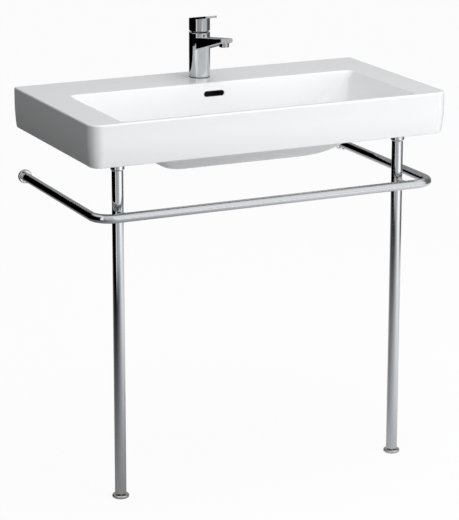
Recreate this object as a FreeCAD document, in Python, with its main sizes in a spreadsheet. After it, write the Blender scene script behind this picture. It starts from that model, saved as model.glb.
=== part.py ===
import FreeCAD, Part
import math
import os
import re

import Sketcher
from FreeCAD import Placement, Rotation, Vector

# A console sink: a ceramic basin bolted to the wall at its back and carried at its front by two
# round legs, with a towel rail bent round the front and sides and a single-lever tap.
# Millimetres. X runs to the right, Y to the wall, Z up. The origin is on the floor, midway
# between the basin's sides and midway between its front and the wall.

SIZES = [
    # basin
    ("basin_width", 850.0),
    ("basin_depth", 460.0),
    ("rim_height", 850.0),
    ("apron_height", 93.0),
    ("apron_plumb_band", 30.0),
    ("apron_inset", 6.0),
    ("apron_wall", 12.0),
    ("deck_thickness", 14.0),
    ("front_corner_radius", 28.0),
    ("back_corner_radius", 6.0),
    ("top_edge_radius", 4.0),
    ("bowl_width", 702.0),
    ("bowl_depth", 145.0),
    ("bowl_wall", 13.0),
    ("front_rim_width", 14.0),
    ("rear_deck_width", 144.0),
    ("side_slope", 27.0),
    ("bowl_floor_depth", 41.026059),
    ("back_slope", 8.0),
    ("side_blend_radius", 150.0),
    ("front_blend_radius", 130.0),
    ("back_blend_radius", 60.0),
    ("bowl_corner_radius", 20.0),
    ("bowl_corner_swell", 30.0),
    ("bowl_swell_height", 100.0),
    ("bowl_edge_radius", 4.5),
    ("drain_hole_diameter", 46.0),
    ("overflow_slot_width", 50.0),
    ("overflow_slot_height", 13.0),
    ("overflow_below_rim", 25.0),
    ("overflow_duct_width", 56.0),
    ("overflow_duct_gap", 14.0),
    ("overflow_duct_wall", 9.0),
    ("overflow_run_width", 24.0),
    ("overflow_run_height", 6.0),
    ("overflow_run_roof", 5.0),
    ("overflow_run_floor", 5.0),
    ("drain_boss_diameter", 58.0),
    ("tap_hole_diameter", 35.0),
    ("tap_from_wall", 68.0),
    ("wall_bolt_spacing", 280.0),
    ("wall_bolt_hole_diameter", 14.0),
    ("wall_bolt_below_rim", 60.0),
    # legs
    ("leg_offset", 338.0),
    ("leg_setback", 72.0),
    ("leg_diameter", 25.0),
    ("leg_tube_wall", 1.5),
    ("boss_diameter", 44.0),
    ("boss_hole_depth", 28.0),
    ("gasket_thickness", 2.0),
    ("collar_diameter", 30.0),
    ("collar_height", 21.0),
    ("collar_taper_height", 3.0),
    ("plug_head_height", 8.0),
    ("plug_shank_length", 32.0),
    ("peg_diameter", 15.5),
    ("peg_length", 24.0),
    ("foot_diameter", 37.0),
    ("foot_height", 7.0),
    ("foot_gap", 3.0),
    ("foot_edge_radius", 2.5),
    ("pad_diameter", 33.0),
    ("pad_thickness", 2.3),
    ("pad_pin_diameter", 6.0),
    ("pad_pin_length", 3.0),
    ("pad_recess_depth", 1.0),
    ("foot_stud_diameter", 10.0),
    ("foot_stud_length", 42.0),
    ("insert_length", 26.0),
    # towel rail
    ("rail_below_rim", 207.0),
    ("rail_offset", 403.0),
    ("rail_setback", 21.0),
    ("rail_diameter", 20.0),
    ("rail_tube_wall", 1.2),
    ("rail_bend_radius", 40.0),
    ("standoff_diameter", 12.0),
    ("rail_screw_diameter", 5.0),
    ("rail_screw_bite", 14.0),
    ("rail_screw_head_diameter", 9.0),
    ("rail_screw_head_height", 4.0),
    ("rosette_diameter", 31.0),
    ("rosette_thickness", 6.0),
    ("rosette_edge_radius", 2.0),
    ("spigot_length", 24.0),
    ("wall_screw_hole_diameter", 5.2),
    ("wall_screw_seat_diameter", 10.4),
    ("wall_screw_seat_thickness", 4.0),
    ("set_screw_diameter", 4.0),
    ("set_screw_head_diameter", 6.0),
    ("set_screw_head_height", 2.5),
    ("set_screw_inset", 9.0),
    # tap, with heights from the deck
    ("tap_diameter", 48.0),
    ("tap_edge_chamfer", 0.7),
    ("tap_body_height", 103.0),
    ("tap_gasket_thickness", 1.5),
    ("tap_cavity_diameter", 38.0),
    ("tap_cavity_roof", 42.0),
    ("cartridge_floor", 62.0),
    ("cartridge_socket_diameter", 36.4),
    ("inlet_diameter", 9.0),
    ("inlet_offset", 7.5),
    ("inlet_forward", 4.0),
    ("spout_reach", 145.0),
    ("spout_root_width", 34.0),
    ("spout_root_low", 60.5),
    ("spout_root_high", 91.0),
    ("spout_tip_width", 28.6),
    ("spout_tip_low", 101.0),
    ("spout_tip_high", 111.0),
    ("spout_edge_radius", 3.0),
    ("waterway_diameter", 9.0),
    ("aerator_diameter", 22.0),
    ("aerator_setback", 14.0),
    ("aerator_low", 90.0),
    ("aerator_high", 105.0),
    ("aerator_insert_diameter", 18.0),
    ("tap_stud_diameter", 8.0),
    ("tap_stud_back", 10.0),
    ("tap_stud_top", 55.0),
    ("tap_stud_drop", 62.0),
    ("horseshoe_diameter", 42.0),
    ("horseshoe_slot_width", 26.0),
    ("horseshoe_gasket_thickness", 2.5),
    ("horseshoe_washer_thickness", 2.5),
    ("tap_nut_height", 7.0),
    ("tap_nut_across_corners", 15.0),
    ("index_plug_diameter", 5.0),
    ("index_plug_height", 97.5),
    # cartridge, with heights from the deck
    ("cartridge_diameter", 35.8),
    ("cartridge_neck_diameter", 26.0),
    ("cartridge_neck_height", 18.0),
    ("cartridge_height", 38.0),
    ("cartridge_chamber_diameter", 28.0),
    ("cartridge_mouth_diameter", 23.0),
    ("cartridge_lip", 2.0),
    ("disc_port_diameter", 4.5),
    ("disc_port_offset", 6.0),
    ("disc_port_forward", 3.0),
    ("disc_outlet_back", 4.5),
    ("disc_recess_width", 13.0),
    ("disc_recess_length", 6.0),
    ("disc_recess_depth", 0.9),
    ("disc_thickness", 4.0),
    ("fixed_disc_diameter", 27.0),
    ("moving_disc_diameter", 21.0),
    ("moving_disc_thickness", 6.0),
    ("moving_disc_socket_depth", 4.5),
    ("carrier_height", 7.0),
    ("pivot_height", 96.0),
    ("pivot_pin_diameter", 3.0),
    ("pivot_pin_length", 20.0),
    ("stem_width", 8.0),
    ("stem_top", 126.0),
    ("stem_ball_diameter", 5.0),
    ("stem_arm", 7.4),
    ("ring_nut_height", 5.0),
    ("ring_nut_bore", 25.0),
    ("dome_radius", 20.0),
    ("dome_wall", 1.4),
    ("dome_bore", 23.0),
    # handle, with heights from the deck
    ("handle_gap", 4.0),
    ("handle_height", 30.0),
    ("handle_reach", 64.0),
    ("lever_rise", 10.8),
    ("lever_thickness", 5.0),
    ("lever_root_width", 46.0),
    ("lever_tip_width", 28.0),
    ("lever_corner_radius", 5.0),
    ("handle_edge_radius", 1.0),
    ("handle_heel_relief", 14.0),
    ("handle_screw_diameter", 5.0),
    ("handle_screw_length", 8.0),
    ("handle_screw_height", 121.0),
    # clearances
    ("seat_gap", 0.05),
    ("free_gap", 0.2),
    ("peg_gap", 0.25),
]

WALL_FACE = "basin_depth / 2"
FRONT_FACE = "-basin_depth / 2"
APRON_FOOT = "(rim_height - apron_height)"
LEG_Y = "(-basin_depth / 2 + leg_setback)"
RAIL_Y = "(-basin_depth / 2 + rail_setback)"
TAP_Y = "(basin_depth / 2 - tap_from_wall)"
COLLAR_TOP = "(rim_height - apron_height - gasket_thickness)"
RAIL_Z = "(rim_height - rail_below_rim)"
LEG_TOP = "(rim_height - apron_height - gasket_thickness - plug_head_height)"
LEG_BOTTOM = "(foot_height + foot_gap)"

SIDES = (("left", -1), ("right", 1))
BOWL_OUTLINE_COUNT = 9
APRON_OUTLINE_COUNT = 4

document = FreeCAD.newDocument("ConsoleSink")
nodes = {}


def fill_sheet():
    """One row per driving dimension: its name in column A and its value, under that alias, in B."""
    sheet = document.addObject("Spreadsheet::Sheet", "Sizes")
    for row, (alias, value) in enumerate(SIZES, 1):
        sheet.set(f"A{row}", alias)
        sheet.set(f"B{row}", str(value))
        sheet.setAlias(f"B{row}", alias)
    document.recompute()
    return {alias: float(sheet.get(alias)) for alias, _ in SIZES}


size = fill_sheet()


def bind(item, path, formula):
    """Ties one property to a formula of the sheet's names."""
    linked = re.sub(r"[a-z][a-z_]+[a-z]", lambda m: f"Sizes.{m[0]}" if m[0] in size else m[0], formula)
    item.setExpression(path, linked)


def place(item, x="0", y="0", z="0", turn=None):
    """Turns an object about its own origin, then ties that origin to a place in the frame."""
    item.Placement = Placement(Vector(), turn or Rotation())
    for axis, formula in zip("xyz", (x, y, z)):
        bind(item, f"Placement.Base.{axis}", formula)
    return item


def node(name, item):
    """Names a finished sub-part."""
    item.Label = name
    nodes[name] = item
    return item


ALONG_Y = Rotation(Vector(1, 0, 0), -90)
TO_ROOM = Rotation(Vector(1, 0, 0), 90)
ALONG_X = Rotation(Vector(0, 1, 0), 90)


def cylinder(name, diameter, length, x="0", y="0", z="0", turn=None):
    """A round bar from its base point along its own Z."""
    item = document.addObject("Part::Cylinder", name)
    bind(item, "Radius", f"({diameter}) / 2")
    bind(item, "Height", length)
    return place(item, x, y, z, turn)


def sphere(name, radius, x="0", y="0", z="0"):
    item = document.addObject("Part::Sphere", name)
    bind(item, "Radius", radius)
    return place(item, x, y, z)


def box(name, x, y, z, width, depth, height):
    """A block from its low corner."""
    item = document.addObject("Part::Box", name)
    bind(item, "Length", width)
    bind(item, "Width", depth)
    bind(item, "Height", height)
    return place(item, x, y, z)


def prism(name, across_corners, length, x="0", y="0", z="0", turn=None):
    """A hexagonal bar."""
    item = document.addObject("Part::Prism", name)
    item.Polygon = 6
    bind(item, "Circumradius", f"({across_corners}) / 2")
    bind(item, "Height", length)
    return place(item, x, y, z, turn)


def fuse(name, *parts):
    item = document.addObject("Part::MultiFuse", name)
    item.Shapes = list(parts)
    return item


def cut(name, base, *tools):
    item = document.addObject("Part::Cut", name)
    item.Base = base
    item.Tool = tools[0] if len(tools) == 1 else fuse(name + "_tools", *tools)
    return item


def common(name, *parts):
    item = document.addObject("Part::MultiCommon", name)
    item.Shapes = list(parts)
    return item


def origin_plane(body, role):
    return [plane for plane in body.Origin.OriginFeatures if plane.Role == role][0]


def polygon_sketch(body, name, plane, corners, offset="0"):
    """A closed outline of straight lines on one of the body's planes.

    Each corner is a pair of formulas, its two distances from the plane's origin."""
    sketch = body.newObject("Sketcher::SketchObject", name)
    sketch.AttachmentSupport = [(origin_plane(body, plane), "")]
    sketch.MapMode = "FlatFace"
    bind(sketch, "AttachmentOffset.Base.z", offset)
    count = len(corners)
    start = [Vector(10 * math.cos(6.28 * k / count), 10 * math.sin(6.28 * k / count),
                    0) for k in range(count)]
    for k in range(count):
        sketch.addGeometry(Part.LineSegment(start[k], start[(k + 1) % count]), False)
    for k in range(count):
        sketch.addConstraint(Sketcher.Constraint("Coincident", k, 2, (k + 1) % count, 1))
    for k, corner in enumerate(corners):
        for kind, formula in zip(("DistanceX", "DistanceY"), corner):
            index = sketch.addConstraint(Sketcher.Constraint(kind, -1, 1, k, 1, 1.0))
            bind(sketch, f"Constraints[{index}]", formula)
    return sketch


def turned(name, outline, x="0", y="0", z="0", turn=None):
    """A lathe-turned body: the outline holds (radius, height) pairs and is turned about Z."""
    body = document.addObject("PartDesign::Body", name)
    sketch = polygon_sketch(body, name + "_outline", "XZ_Plane", outline)
    revolution = body.newObject("PartDesign::Revolution", name + "_turning")
    revolution.Profile = sketch
    revolution.ReferenceAxis = (sketch, ["V_Axis"])
    revolution.Angle = 360
    document.recompute()
    return place(body, x, y, z, turn)


def padded(name, plane, corners, length, offset="0", x="0", y="0", z="0", midplane=False):
    """A body with one straight-sided outline pushed out square to its plane."""
    body = document.addObject("PartDesign::Body", name)
    pad = body.newObject("PartDesign::Pad", name + "_pad")
    pad.Profile = polygon_sketch(body, name + "_outline", plane, corners, offset)
    bind(pad, "Length", length)
    pad.Midplane = midplane
    body.Tip = pad
    document.recompute()
    return place(body, x, y, z)


def rounded(body, radius, chosen):
    """Rounds the edges of the body's last feature that the test picks."""
    last = body.Tip
    names = [f"Edge{k}" for k, edge in enumerate(last.Shape.Edges, 1) if chosen(edge)]
    fillet = body.newObject("PartDesign::Fillet", body.Name + "_" + re.sub(r"[^a-z]", "", radius))
    fillet.Base = (last, names)
    bind(fillet, "Radius", radius)
    body.Tip = fillet
    document.recompute()
    return body


def ring_edge(radius, height):
    """Tests for the circular edge of one radius at one height of the body's own axis."""
    def chosen(edge):
        curve = edge.Curve
        if not isinstance(curve, Part.Circle):
            return False
        return abs(curve.Radius - radius) < 1e-3 and abs(curve.Center.z - height) < 1e-3
    return chosen


def upright_edge(front):
    """Tests for the upright corner edges at the front, or at the back, of a plan outline."""
    def chosen(edge):
        low, high = edge.Vertexes[0].Point, edge.Vertexes[-1].Point
        upright = abs(low.x - high.x) + abs(low.y - high.y) < 1e-6 < abs(low.z - high.z)
        return upright and (low.y < 0) == front
    return chosen


# ---------------------------------------------------------------- basin


def plan_block(name, inset, low, high):
    """A block of the basin's plan outline, drawn in by an inset on all sides."""
    side = f"basin_width / 2 - {inset}"
    front = f"-basin_depth / 2 + {inset}"
    back = f"basin_depth / 2 - {inset}"
    corners = [(f"-({side})", front), (side, front), (side, back), (f"-({side})", back)]
    body = padded(name, "XY_Plane", corners, f"({high}) - ({low})", low)
    rounded(body, f"front_corner_radius - {inset}", upright_edge(True))
    return body


def rounded_loop(left, right, front, back, front_radius, back_radius, height):
    """A rectangle with arc corners, as one wire at one height."""
    turns = ((left, front, front_radius, 180), (right, front, front_radius, 270),
             (right, back, back_radius, 0), (left, back, back_radius, 90))
    arcs = []
    for x, y, radius, start in turns:
        centre = Vector(x + math.copysign(radius, -x), y + math.copysign(radius, (front + back) / 2 - y),
                        height)
        ring = Part.Circle(centre, Vector(0, 0, 1), radius)
        arcs.append(ring.toShape(math.radians(start), math.radians(start + 90)))
    edges = []
    for k, arc in enumerate(arcs):
        edges.append(arc)
        following = arcs[(k + 1) % len(arcs)]
        edges.append(Part.makeLine(arc.Vertexes[-1].Point, following.Vertexes[0].Point))
    return Part.Wire(edges)


def apron_skirt():
    """The lower band of the apron: its walls curve inwards along an arc that leaves them plumb."""
    top = size["rim_height"] - size["apron_plumb_band"]
    drop = size["apron_height"] - size["apron_plumb_band"]
    loops = []
    for k in range(APRON_OUTLINE_COUNT):
        share = k / (APRON_OUTLINE_COUNT - 1)
        inset = size["apron_inset"] * share ** 2
        half = size["basin_width"] / 2 - inset
        front = -size["basin_depth"] / 2 + inset
        back = size["basin_depth"] / 2
        loops.append(rounded_loop(-half, half, front, back, size["front_corner_radius"] - inset,
                                  size["back_corner_radius"], top - drop * share))
    skirt = document.addObject("Part::Feature", "apron_skirt")
    skirt.Shape = Part.makeLoft(loops[::-1], True, False)
    return skirt


def wall_run(height, lean, radius, wall):
    """How far a bowl wall stands out from the edge of the flat floor, at a height above that floor.

    An arc leaves the floor level and meets a straight wall that leans out."""
    outer = radius + wall
    arc_top = radius - outer * math.sin(lean)
    if height < arc_top:
        return math.sqrt(max(outer ** 2 - (radius - height) ** 2, 0.0))
    return outer * math.cos(lean) + (height - arc_top) * math.tan(lean)


def wall_lean(side):
    """A bowl wall's lean from upright. The front one leans so that the flat floor keeps its depth.

    With run, depth and radius the arc and the straight give
    radius + (depth - radius) sin(lean) = run cos(lean)."""
    if side != "front":
        return math.radians(size[side + "_slope"])
    rise = size["bowl_depth"] - size["front_blend_radius"]
    run = front_run()
    return math.acos(size["front_blend_radius"] / math.hypot(run, rise)) - math.atan2(rise, run)


def back_run():
    """How far the bowl's back wall leans out, from the flat floor to the rim."""
    return wall_run(size["bowl_depth"], wall_lean("back"), size["back_blend_radius"], 0)


def front_run():
    """How far the front wall stands out at the rim from the flat floor: what the floor and the back leave."""
    opening = size["basin_depth"] - size["front_rim_width"] - size["rear_deck_width"]
    return opening - size["bowl_floor_depth"] - back_run()


def bowl_loop(height, wall):
    """The bowl's outline at a height above its floor, drawn out square to its walls by a thickness."""
    def run(side, at, thickness):
        return wall_run(at, wall_lean(side), size[side + "_blend_radius"], thickness)

    depth = size["bowl_depth"]
    half = size["bowl_width"] / 2 - run("side", depth, 0) + run("side", height, wall)
    front = -size["basin_depth"] / 2 + size["front_rim_width"] + run("front", depth, 0)
    front -= run("front", height, wall)
    back = size["basin_depth"] / 2 - size["rear_deck_width"] - run("back", depth, 0)
    back += run("back", height, wall)
    share = min(max(height, 0.0) / size["bowl_swell_height"], 1.0)
    radius = size["bowl_corner_radius"] + size["bowl_corner_swell"] * math.sin(math.pi * share)
    return rounded_loop(-half, half, front, back, radius, radius, size["rim_height"] - depth + height)


def bowl_form(name, wall, top, sections):
    """A loft through the bowl's outlines, closer together towards the floor where the walls curve most."""
    heights = [-wall + (top + wall) * (k / BOWL_OUTLINE_COUNT) ** 2 for k in range(sections + 1)]
    form = document.addObject("Part::Feature", name)
    form.Shape = Part.makeLoft([bowl_loop(height, wall) for height in heights], True, False)
    return form


def overflow_duct(name, grow, floor):
    """The channel behind the bowl and under its floor, from the slot to the drain.

    It is grown by one wall on its sides and by another below."""
    width = f"(overflow_duct_width + 2 * ({grow}))"
    run_width = f"(overflow_run_width + 2 * ({grow}))"
    back = "(basin_depth / 2 - rear_deck_width + bowl_wall + overflow_duct_gap)"
    roof = "(rim_height - bowl_depth - overflow_run_roof)"
    low = f"({roof} - overflow_run_height - {floor})"
    drop_top = f"rim_height - overflow_below_rim + overflow_slot_height / 2 + ({grow})"
    shaft = box(name + "_shaft", f"-{width} / 2", f"{back} - overflow_duct_gap - ({grow})", low,
                width, f"overflow_duct_gap + 2 * ({grow})", f"{drop_top} - {low}")
    run = box(name + "_run", f"-{run_width} / 2", drain_y(), low, run_width,
              f"{back} + ({grow}) - {drain_y()}", f"{roof} - {low}")
    return shaft, run


def drain_y():
    """The drain's centre: the middle of the flat floor, front to back."""
    return f"((front_rim_width - rear_deck_width + {front_run() - back_run():.6f}) / 2)"


def drain_foot():
    """The height of the flat ring round the drain, under the basin."""
    return "(rim_height - bowl_depth - overflow_run_roof - overflow_run_height - overflow_run_floor)"


def basin():
    upper = plan_block("apron_top", "0", "rim_height - apron_plumb_band", "rim_height")
    rounded(upper, "back_corner_radius", upright_edge(False))
    top = size["rim_height"]
    rounded(upper, "top_edge_radius", lambda edge: all(abs(v.Z - top) < 1e-6 for v in edge.Vertexes))
    hollow = plan_block("apron_hollow", "apron_wall", f"{APRON_FOOT} - 10", "rim_height - deck_thickness")
    clip = plan_block("bowl_clip", "(apron_wall - 2)", "rim_height - bowl_depth - 2 * bowl_wall",
                      "rim_height - 3")
    bowl = common("bowl_shell", bowl_form("bowl_outside", size["bowl_wall"], size["bowl_depth"] - 2,
                                          BOWL_OUTLINE_COUNT), clip)
    inside = bowl_form("bowl_inside", 0.0, size["bowl_depth"], BOWL_OUTLINE_COUNT + 1)
    bosses = [cylinder(f"{side}_boss", "boss_diameter", "apron_height - deck_thickness + 1",
                       f"{sign} * leg_offset", LEG_Y, APRON_FOOT) for side, sign in SIDES]
    ribs = overflow_duct("duct_rib", "overflow_duct_wall", "overflow_run_floor")
    seat = cylinder("drain_seat", "drain_boss_diameter", "bowl_wall / 2", "0", drain_y(), drain_foot())
    shell = cut("apron_shell", fuse("apron_solid", upper, apron_skirt()), hollow)
    solid = fuse("ceramic", shell, bowl, seat, *bosses, *ribs)
    holes = [cylinder(f"{side}_boss_hole", "peg_diameter + 2 * peg_gap", "boss_hole_depth + 1",
                      f"{sign} * leg_offset", LEG_Y, f"{APRON_FOOT} - 1") for side, sign in SIDES]
    holes += [cylinder(f"{side}_wall_hole", "wall_bolt_hole_diameter", "2 * apron_wall",
                       f"{sign} * wall_bolt_spacing / 2", f"{WALL_FACE} - 1.5 * apron_wall",
                       "rim_height - wall_bolt_below_rim", ALONG_Y) for side, sign in SIDES]
    holes.append(cylinder("tap_hole", "tap_hole_diameter", "deck_thickness + 2", "0", TAP_Y,
                          "rim_height - deck_thickness - 1"))
    holes.append(cylinder("drain_hole", "drain_hole_diameter", "3 * bowl_wall + overflow_duct_gap", "0",
                          drain_y(),
                          "rim_height - bowl_depth - 2 * bowl_wall - overflow_duct_gap"))
    raw = cut("basin_unrounded", solid, inside, overflow_slot(), *overflow_duct("duct", "0", "0"), *holes)
    document.recompute()
    finished = document.addObject("Part::Feature", "basin_finished")
    finished.Shape = raw.Shape.makeFillet(size["bowl_edge_radius"],
                                          [e for e in raw.Shape.Edges if on_bowl_edge(e)])
    node("basin", finished)


def on_bowl_edge(edge):
    """Tests for the edges where the bowl's walls meet the top of the deck."""
    top = size["rim_height"]
    if any(abs(v.Z - top) > 1e-4 for v in edge.Vertexes):
        return False
    bound = edge.BoundBox
    inside_x = max(abs(bound.XMin), abs(bound.XMax)) < size["bowl_width"] / 2 + 1e-3
    inside_y = bound.YMax < size["basin_depth"] / 2 - size["rear_deck_width"] + 1e-3
    not_hole = bound.YMax < size["basin_depth"] / 2 - size["tap_from_wall"] - size["tap_hole_diameter"] / 2
    on_front = bound.YMin < -size["basin_depth"] / 2 + size["front_rim_width"] - 1e-3
    return inside_x and inside_y and not_hole and not on_front


def overflow_slot():
    """A slot with round ends, through the bowl's back wall into the duct."""
    reach = "2 * bowl_wall + overflow_duct_gap / 2"
    y = "basin_depth / 2 - rear_deck_width - bowl_wall"
    z = "rim_height - overflow_below_rim"
    straight = "(overflow_slot_width - overflow_slot_height)"
    middle = box("slot_middle", f"-{straight} / 2", y, f"{z} - overflow_slot_height / 2", straight, reach,
                 "overflow_slot_height")
    ends = [cylinder(f"slot_{side}_end", "overflow_slot_height", reach, f"{sign} * {straight} / 2", y, z,
                     ALONG_Y)
            for side, sign in SIDES]
    return fuse("overflow_slot", middle, *ends)


# ---------------------------------------------------------------- legs


def leg(side, sign):
    x = f"{sign} * leg_offset"
    bore = "leg_diameter - 2 * leg_tube_wall"
    outer = cylinder(f"{side}_leg_outside", "leg_diameter", f"{LEG_TOP} - {LEG_BOTTOM}", x, LEG_Y, LEG_BOTTOM)
    inner = cylinder(f"{side}_leg_bore", bore, "rim_height", x, LEG_Y, "0")
    hole = cylinder(f"{side}_leg_screw_hole", "rail_screw_diameter + 2 * seat_gap", "2 * leg_diameter", x,
                    f"{LEG_Y} - leg_diameter", RAIL_Z, ALONG_Y)
    node(f"{side}_leg_tube", cut(f"{side}_leg", outer, inner, hole))
    node(f"{side}_leg_collar", turned(f"{side}_collar", [
        ("leg_diameter / 2 + seat_gap", "0"),
        ("collar_diameter / 2", "0"),
        ("collar_diameter / 2", "collar_taper_height - collar_height"),
        ("leg_diameter / 2 + leg_tube_wall / 2", "-collar_height"),
        ("leg_diameter / 2 + seat_gap", "-collar_height"),
    ], x, LEG_Y, COLLAR_TOP))
    node(f"{side}_leg_plug", turned(f"{side}_plug", [
        ("0", "-plug_head_height - plug_shank_length"),
        (f"({bore}) / 2 - seat_gap", "-plug_head_height - plug_shank_length"),
        (f"({bore}) / 2 - seat_gap", "-plug_head_height"),
        ("leg_diameter / 2", "-plug_head_height"),
        ("leg_diameter / 2", "0"),
        ("peg_diameter / 2", "0"),
        ("peg_diameter / 2", "peg_length"),
        ("0", "peg_length"),
    ], x, LEG_Y, COLLAR_TOP))
    node(f"{side}_leg_gasket", turned(f"{side}_gasket", [
        ("peg_diameter / 2 + peg_gap", "0"),
        ("collar_diameter / 2", "0"),
        ("collar_diameter / 2", "gasket_thickness"),
        ("peg_diameter / 2 + peg_gap", "gasket_thickness"),
    ], x, LEG_Y, COLLAR_TOP))
    node(f"{side}_leg_insert", turned(f"{side}_insert", [
        ("foot_stud_diameter / 2 + seat_gap", "0"),
        (f"({bore}) / 2 - seat_gap", "0"),
        (f"({bore}) / 2 - seat_gap", "insert_length"),
        ("foot_stud_diameter / 2 + seat_gap", "insert_length"),
    ], x, LEG_Y, LEG_BOTTOM))
    foot(side, x)


def foot(side, x):
    """A disc on a threaded stud, and the glide pad that stays still while the disc turns."""
    recess_roof = "pad_thickness + free_gap"
    pin_top = "pad_thickness + pad_pin_length"
    edge_low = f"({recess_roof} - pad_recess_depth)"
    stud = turned(f"{side}_foot_stud", [
        ("0", f"{pin_top} + free_gap"),
        ("pad_pin_diameter / 2 + seat_gap", f"{pin_top} + free_gap"),
        ("pad_pin_diameter / 2 + seat_gap", recess_roof),
        ("pad_diameter / 2 + free_gap", recess_roof),
        ("pad_diameter / 2 + free_gap", edge_low),
        ("foot_diameter / 2", edge_low),
        ("foot_diameter / 2", "foot_height"),
        ("foot_stud_diameter / 2", "foot_height"),
        ("foot_stud_diameter / 2", "foot_height + foot_stud_length"),
        ("0", "foot_height + foot_stud_length"),
    ], x, LEG_Y, "0")
    rounded(stud, "foot_edge_radius", ring_edge(size["foot_diameter"] / 2, size["foot_height"]))
    node(f"{side}_foot", stud)
    node(f"{side}_foot_pad", turned(f"{side}_pad", [
        ("0", "0"),
        ("pad_diameter / 2", "0"),
        ("pad_diameter / 2", "pad_thickness"),
        ("pad_pin_diameter / 2", "pad_thickness"),
        ("pad_pin_diameter / 2", pin_top),
        ("0", pin_top),
    ], x, LEG_Y, "0"))


# ---------------------------------------------------------------- towel rail


def rail_path(body):
    """The rail's centre line in plan: back to front, across, and back to the wall, with two arcs."""
    sketch = body.newObject("Sketcher::SketchObject", "rail_path")
    sketch.AttachmentSupport = [(origin_plane(body, "XY_Plane"), "")]
    sketch.MapMode = "FlatFace"
    bind(sketch, "AttachmentOffset.Base.z", RAIL_Z)
    half, bend = size["rail_offset"], size["rail_bend_radius"]
    front = -size["basin_depth"] / 2 + size["rail_setback"]
    end = size["basin_depth"] / 2 - size["rosette_thickness"]
    points = [Vector(-half, end, 0), Vector(-half, front + bend, 0), Vector(bend - half, front, 0),
              Vector(half - bend, front, 0), Vector(half, front + bend, 0), Vector(half, end, 0)]
    inward = bend * (1 - math.sqrt(0.5))
    middles = [Vector(inward - half, front + inward, 0), Vector(half - inward, front + inward, 0)]
    sketch.addGeometry(Part.LineSegment(points[0], points[1]), False)
    sketch.addGeometry(Part.Arc(points[1], middles[0], points[2]), False)
    sketch.addGeometry(Part.LineSegment(points[2], points[3]), False)
    sketch.addGeometry(Part.Arc(points[3], middles[1], points[4]), False)
    sketch.addGeometry(Part.LineSegment(points[4], points[5]), False)
    low, front_y = f"{RAIL_Y} + rail_bend_radius", RAIL_Y
    places = [(0, 1, "-rail_offset", f"{WALL_FACE} - rosette_thickness"), (0, 2, "-rail_offset", low),
              (2, 1, "rail_bend_radius - rail_offset", front_y), (2, 2, "rail_offset - rail_bend_radius",
                                                                  front_y),
              (4, 1, "rail_offset", low), (4, 2, "rail_offset", f"{WALL_FACE} - rosette_thickness")]
    for point, (line, end_number, *where) in zip(points, places):
        for kind, value, formula in zip(("DistanceX", "DistanceY"), point, where):
            index = sketch.addConstraint(Sketcher.Constraint(kind, -1, 1, line, end_number, value))
            bind(sketch, f"Constraints[{index}]", formula)
    for arc, before, after in ((1, 0, 2), (3, 2, 4)):
        starts_at = 1 if sketch.Geometry[arc].StartPoint.isEqual(points[arc], 1e-3) else 2
        sketch.addConstraint(Sketcher.Constraint("Coincident", arc, starts_at, before, 2))
        sketch.addConstraint(Sketcher.Constraint("Coincident", arc, 3 - starts_at, after, 1))
        index = sketch.addConstraint(Sketcher.Constraint("Radius", arc, bend))
        bind(sketch, f"Constraints[{index}]", "rail_bend_radius")
    return sketch


def rail_section(body):
    """The tube's two rings, square to the path's first end."""
    sketch = body.newObject("Sketcher::SketchObject", "rail_section")
    sketch.AttachmentSupport = [(origin_plane(body, "XZ_Plane"), "")]
    sketch.MapMode = "FlatFace"
    bind(sketch, "AttachmentOffset.Base.z", f"rosette_thickness - {WALL_FACE}")
    centre = Vector(-size["rail_offset"], size["rim_height"] - size["rail_below_rim"], 0)
    for ring, radius in enumerate(("rail_diameter / 2", "rail_diameter / 2 - rail_tube_wall")):
        sketch.addGeometry(Part.Circle(centre, Vector(0, 0, 1), 10.0 - 2 * ring), False)
        for kind, formula in (("DistanceX", "-rail_offset"), ("DistanceY", RAIL_Z)):
            index = sketch.addConstraint(Sketcher.Constraint(kind, -1, 1, ring, 3, 1.0))
            bind(sketch, f"Constraints[{index}]", formula)
        index = sketch.addConstraint(Sketcher.Constraint("Radius", ring, 10.0 - 2 * ring))
        bind(sketch, f"Constraints[{index}]", radius)
    return sketch


def towel_rail():
    body = document.addObject("PartDesign::Body", "rail_tube")
    path, section = rail_path(body), rail_section(body)
    document.recompute()
    pipe = body.newObject("PartDesign::AdditivePipe", "rail_pipe")
    pipe.Profile = section
    pipe.Spine = path
    body.Tip = pipe
    document.recompute()
    holes = [cylinder(f"{side}_set_screw_hole", "set_screw_diameter + 2 * free_gap", "rail_diameter / 2",
                      f"{sign} * rail_offset", set_screw_y(), f"{RAIL_Z} - rail_diameter / 2 - 1")
             for side, sign in SIDES]
    node("towel_rail", cut("rail", body, *holes))


def set_screw_y():
    return f"({WALL_FACE} - rosette_thickness - set_screw_inset)"


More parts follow.
